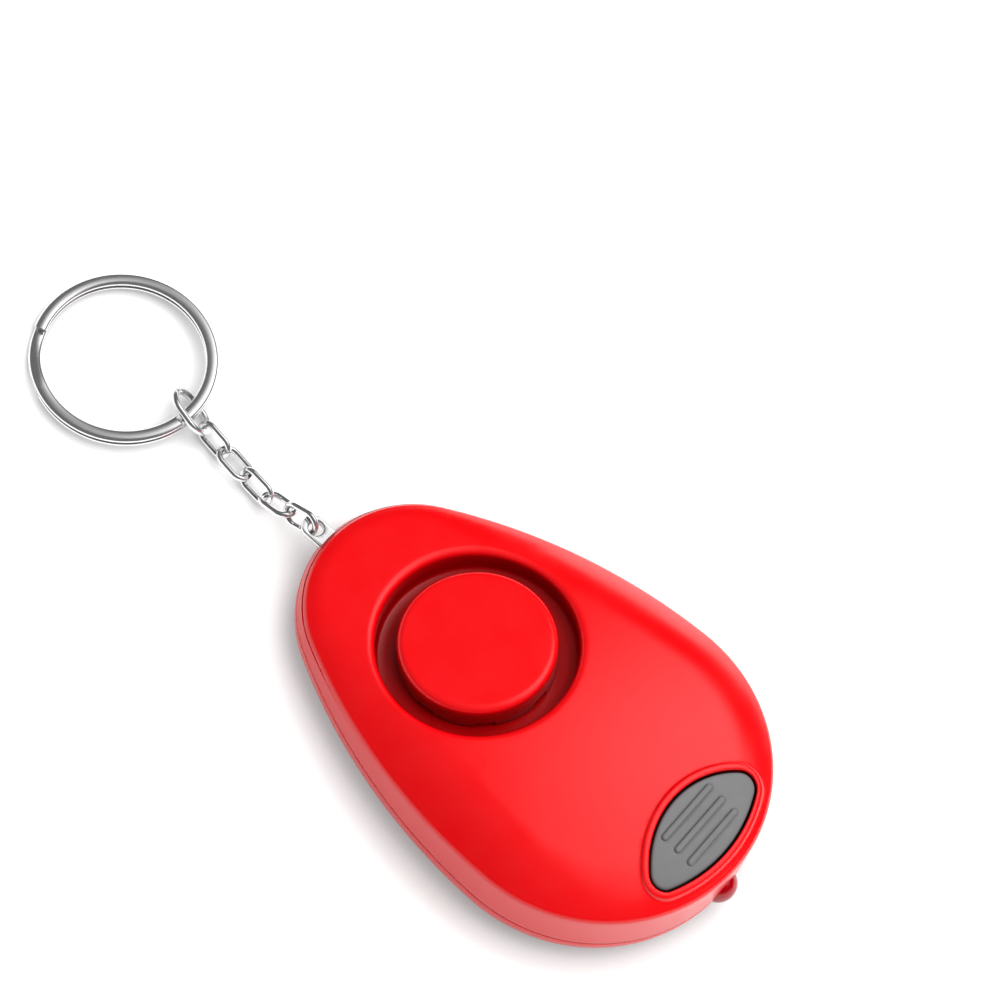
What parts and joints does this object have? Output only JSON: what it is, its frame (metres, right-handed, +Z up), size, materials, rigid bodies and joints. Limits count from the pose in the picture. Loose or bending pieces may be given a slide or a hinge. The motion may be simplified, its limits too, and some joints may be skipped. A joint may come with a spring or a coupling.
{
  "type": "personal safety alarm",
  "caption": "Egg-shaped pocket alarm with a siren disc, a leaf-shaped light button, a small lamp and a pull pin on a chain with a key ring.",
  "frame": {"origin": "centre of the flat back face", "axes": "+X towards the lamp end, -X towards the pull pin and chain, +Z up out of the siren disc's side"},
  "size_m": [0.1184, 0.0462, 0.0169],
  "materials": {
    "red_plastic": "satin moulded red plastic",
    "grey_rubber": "soft grey moulded button",
    "lamp_red": "clear red lamp",
    "chrome": "bright plated steel",
    "brass": "plain brass sheet",
    "ceramic": "pale matt ceramic",
    "black_rubber": "soft black ring",
    "board_green": "green solder mask",
    "cell_steel": "plated cell can",
    "contact_metal": "plated spring sheet",
    "black_plastic": "black moulded plastic",
    "ferrite": "dark grey ferrite",
    "copper": "lacquered copper wire",
    "capacitor_sleeve": "shrunk plastic sleeve",
    "wire_red": "red wire insulation",
    "wire_black": "black wire insulation",
    "screw_steel": "plated screw steel"
  },
  "bodies": {
    "case": {"top_cover": "red_plastic", "back_cover": "red_plastic", "siren_cap": "red_plastic", "led_lamp": "lamp_red", "led_leads": "contact_metal", "piezo_plate": "brass", "piezo_ceramic": "ceramic", "piezo_gasket": "black_rubber", "circuit_board": "board_green", "battery_cell": "cell_steel", "battery_contact_plus": "contact_metal", "battery_contact_minus": "contact_metal", "fixed_contact": "contact_metal", "contact_post": "contact_metal", "light_switch_body": "black_plastic", "siren_driver": "black_plastic", "boost_coil_core": "ferrite", "boost_coil_winding": "copper", "transistor": "black_plastic", "capacitor": "capacitor_sleeve", "chip_resistors": "ceramic", "piezo_wire_red": "wire_red", "piezo_wire_black": "wire_black", "case_screws": "screw_steel", "board_screws": "screw_steel"},
    "light_button": {"light_button": "grey_rubber", "light_switch_plunger": "black_plastic"},
    "moving_contact": {"moving_contact": "contact_metal"},
    "pull_pin": {"pull_pin": "chrome"},
    "chain_link_1": {"chain_link_1": "chrome"},
    "chain_link_2": {"chain_link_2": "chrome"},
    "chain_link_3": {"chain_link_3": "chrome"},
    "chain_link_4": {"chain_link_4": "chrome"},
    "chain_link_5": {"chain_link_5": "chrome"},
    "jump_ring": {"jump_ring": "chrome"},
    "split_ring": {"split_ring": "chrome"}
  },
  "joints": [
    {"name": "light_button_press", "type": "slide", "parent": "case", "child": "light_button", "axis": [0, 0, -1], "range_m": [0, 0.0005], "stiffness_N_per_m": 2500},
    {"name": "pin_pull", "type": "slide", "parent": "case", "child": "pull_pin", "axis": [-1, 0, 0], "range_m": [0, 0.011]},
    {"name": "contact_close", "type": "hinge", "parent": "case", "child": "moving_contact", "pos_m": [-0.0266, 0.0052, 0.0064], "axis": [1, 0, 0], "range_deg": [0, 12.39]},
    {"name": "chain_link_1_swing", "type": "hinge", "parent": "pull_pin", "child": "chain_link_1", "pos_m": [-0.03728, 0, 0.0057], "axis": [0, 1, 0], "range_deg": [-30, 30]},
    {"name": "chain_link_2_swing", "type": "hinge", "parent": "chain_link_1", "child": "chain_link_2", "pos_m": [-0.04058, 0, 0.00409], "axis": [-0.4065, 0.3746, 0.8333], "range_deg": [-30, 30]},
    {"name": "chain_link_3_swing", "type": "hinge", "parent": "chain_link_2", "child": "chain_link_3", "pos_m": [-0.04433, 0.00039, 0.00225], "axis": [-0.2602, -0.9049, 0.3367], "range_deg": [-30, 30]},
    {"name": "chain_link_4_swing", "type": "hinge", "parent": "chain_link_3", "child": "chain_link_4", "pos_m": [-0.04851, 0.00083, 0.0021], "axis": [0.007, 0.3759, 0.9266], "range_deg": [-30, 30]},
    {"name": "chain_link_5_swing", "type": "hinge", "parent": "chain_link_4", "child": "chain_link_5", "pos_m": [-0.05267, 0.00142, 0.00203], "axis": [-0.1355, -0.9173, 0.3745], "range_deg": [-30, 30]},
    {"name": "jump_ring_swing", "type": "hinge", "parent": "chain_link_5", "child": "jump_ring", "pos_m": [-0.05682, 0.002, 0.00203], "axis": [0.0521, 0.371, 0.9272], "range_deg": [-20, 20]},
    {"name": "split_ring_swing", "type": "hinge", "parent": "jump_ring", "child": "split_ring", "pos_m": [-0.05895, 0.0023, 0.0026], "axis": [-0.0349, 0.9994, 0], "range_deg": [-60, 60]}
  ],
  "couplings": [
    {"joint": "contact_close", "follows": "pin_pull", "rad_per_m": 19.658}
  ]
}
